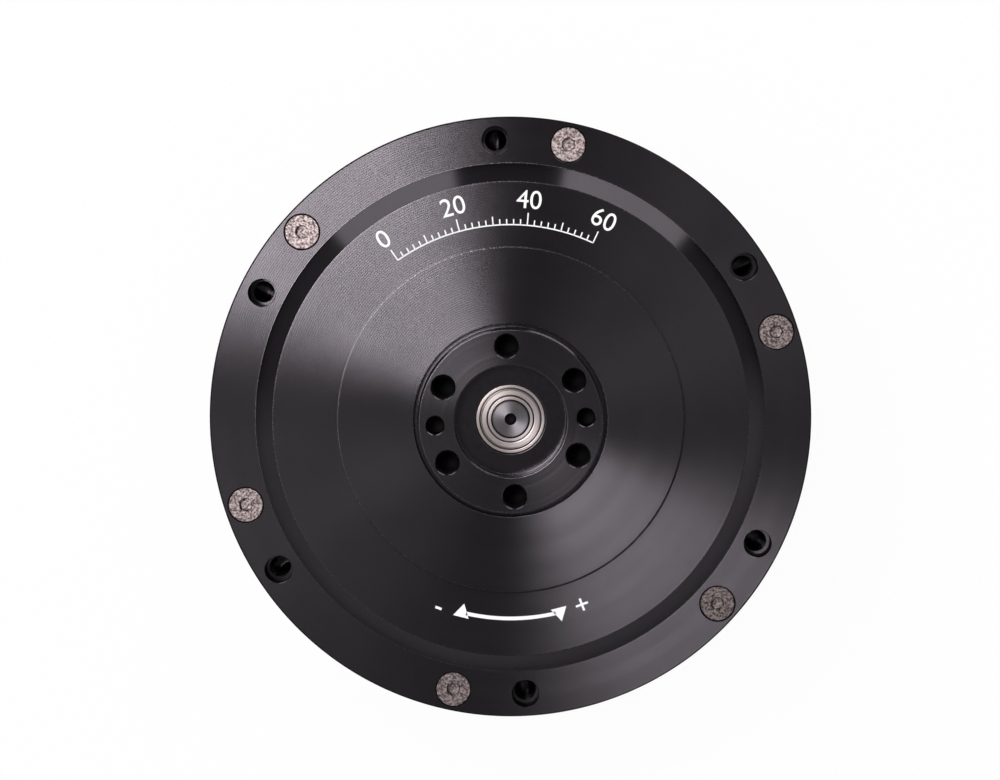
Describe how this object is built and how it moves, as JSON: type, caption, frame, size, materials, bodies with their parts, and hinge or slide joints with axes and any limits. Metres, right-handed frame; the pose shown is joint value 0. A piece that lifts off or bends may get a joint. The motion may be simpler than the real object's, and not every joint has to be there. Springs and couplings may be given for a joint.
{
  "type": "robot joint actuator",
  "caption": "Round robot joint actuator: outer rotor motor, planetary reduction and crossed roller bearing in a black housing, with a bolted output flange.",
  "frame": {"origin": "centre of the flat rear face", "axes": "+Z along the output axis, out of the output flange; the power socket faces -Y"},
  "size_m": [0.098, 0.098, 0.062],
  "materials": {
    "black_anodised": "black anodised over fine turning marks",
    "black_satin": "satin black anodised",
    "plain_aluminium": "turned aluminium",
    "screw_steel": "blackened steel worn at the edges",
    "bright_steel": "ground bearing steel",
    "gear_steel": "ground gear steel",
    "screw_zinc": "zinc plated steel",
    "lamination": "coated electrical steel",
    "magnet": "nickel plated magnet",
    "copper": "enamelled copper",
    "contact_gold": "gold plated",
    "bush_brass": "bearing bronze",
    "insulator_plastic": "moulded end insulator",
    "seal_rubber": "black rubber",
    "board_green": "solder mask",
    "pad_grey": "soft heat pad",
    "chip_black": "moulded chip",
    "capacitor_can": "aluminium can",
    "socket_yellow": "moulded nylon",
    "socket_white": "moulded nylon"
  },
  "bodies": {
    "housing": {"front_cover": "black_anodised", "front_cover_screws": "screw_steel", "main_housing": "black_anodised", "cover_o_ring": "seal_rubber", "rear_cover": "black_anodised", "rear_cover_screws": "screw_steel", "stator_base": "plain_aluminium", "stator_core": "lamination", "stator_insulator_rear": "insulator_plastic", "stator_insulator_front": "insulator_plastic", "stator_windings": "copper", "phase_leads": "copper", "hub_bearing_outer_rings": "bright_steel", "hub_bearing_seals": "seal_rubber", "ring_gear": "gear_steel", "ring_gear_pins": "bright_steel", "main_bearing_outer_ring_rear": "bright_steel", "main_bearing_outer_ring_front": "bright_steel", "bearing_clamp_ring": "screw_zinc", "bearing_clamp_screws": "screw_zinc", "driver_board": "board_green", "board_standoffs": "bush_brass", "board_screws": "screw_zinc", "thermal_pads": "pad_grey", "power_transistors": "chip_black", "bus_capacitors": "capacitor_can", "controller_chip": "chip_black", "gate_driver_chips": "chip_black", "encoder_chip": "chip_black", "power_socket": "socket_yellow", "power_contacts": "contact_gold", "bus_socket": "socket_white", "service_socket": "socket_white"},
    "rotor": {"rotor_bell": "gear_steel", "rotor_magnets": "magnet", "rotor_web_screws": "screw_zinc", "sun_shaft": "gear_steel", "shaft_circlip": "gear_steel", "hub_bearing_inner_rings": "bright_steel", "hub_bearing_spacer": "gear_steel", "nose_bearing_inner_ring": "bright_steel", "encoder_magnet_holder": "bush_brass", "encoder_magnet": "magnet"},
    "output": {"output_flange": "black_satin", "carrier_front_plate": "gear_steel", "carrier_rear_plate": "plain_aluminium", "carrier_post_screws": "screw_zinc", "output_flange_screws": "screw_zinc", "planet_pins": "bright_steel", "thrust_washers": "bright_steel", "main_bearing_inner_ring": "bright_steel", "nose_bearing_outer_ring": "bright_steel", "nose_bearing_shields": "bright_steel"},
    "roller_set": {"main_bearing_rollers": "bright_steel"},
    "planet_1": {"planet_gear_1": "gear_steel", "planet_bush_1": "bush_brass"},
    "planet_2": {"planet_gear_2": "gear_steel", "planet_bush_2": "bush_brass"},
    "planet_3": {"planet_gear_3": "gear_steel", "planet_bush_3": "bush_brass"}
  },
  "joints": [
    {"name": "output_turn", "type": "hinge", "parent": "housing", "child": "output", "pos_m": [0, 0, 0.062], "axis": [0, 0, 1], "continuous": true},
    {"name": "rotor_spin", "type": "hinge", "parent": "housing", "child": "rotor", "pos_m": [0, 0, 0.033], "axis": [0, 0, 1], "continuous": true},
    {"name": "roller_set_turn", "type": "hinge", "parent": "housing", "child": "roller_set", "pos_m": [0, 0, 0.054], "axis": [0, 0, 1], "continuous": true},
    {"name": "planet_1_spin", "type": "hinge", "parent": "output", "child": "planet_1", "pos_m": [0.0189, 0, 0.0427], "axis": [0, 0, 1], "continuous": true},
    {"name": "planet_2_spin", "type": "hinge", "parent": "output", "child": "planet_2", "pos_m": [-0.00945, 0.01637, 0.0427], "axis": [0, 0, 1], "continuous": true},
    {"name": "planet_3_spin", "type": "hinge", "parent": "output", "child": "planet_3", "pos_m": [-0.00945, -0.01637, 0.0427], "axis": [0, 0, 1], "continuous": true}
  ],
  "couplings": [
    {"joint": "rotor_spin", "follows": "output_turn", "ratio": 9},
    {"joint": "roller_set_turn", "follows": "output_turn", "ratio": 0.4713},
    {"joint": "planet_1_spin", "follows": "output_turn", "ratio": -2.2857},
    {"joint": "planet_2_spin", "follows": "output_turn", "ratio": -2.2857},
    {"joint": "planet_3_spin", "follows": "output_turn", "ratio": -2.2857}
  ]
}
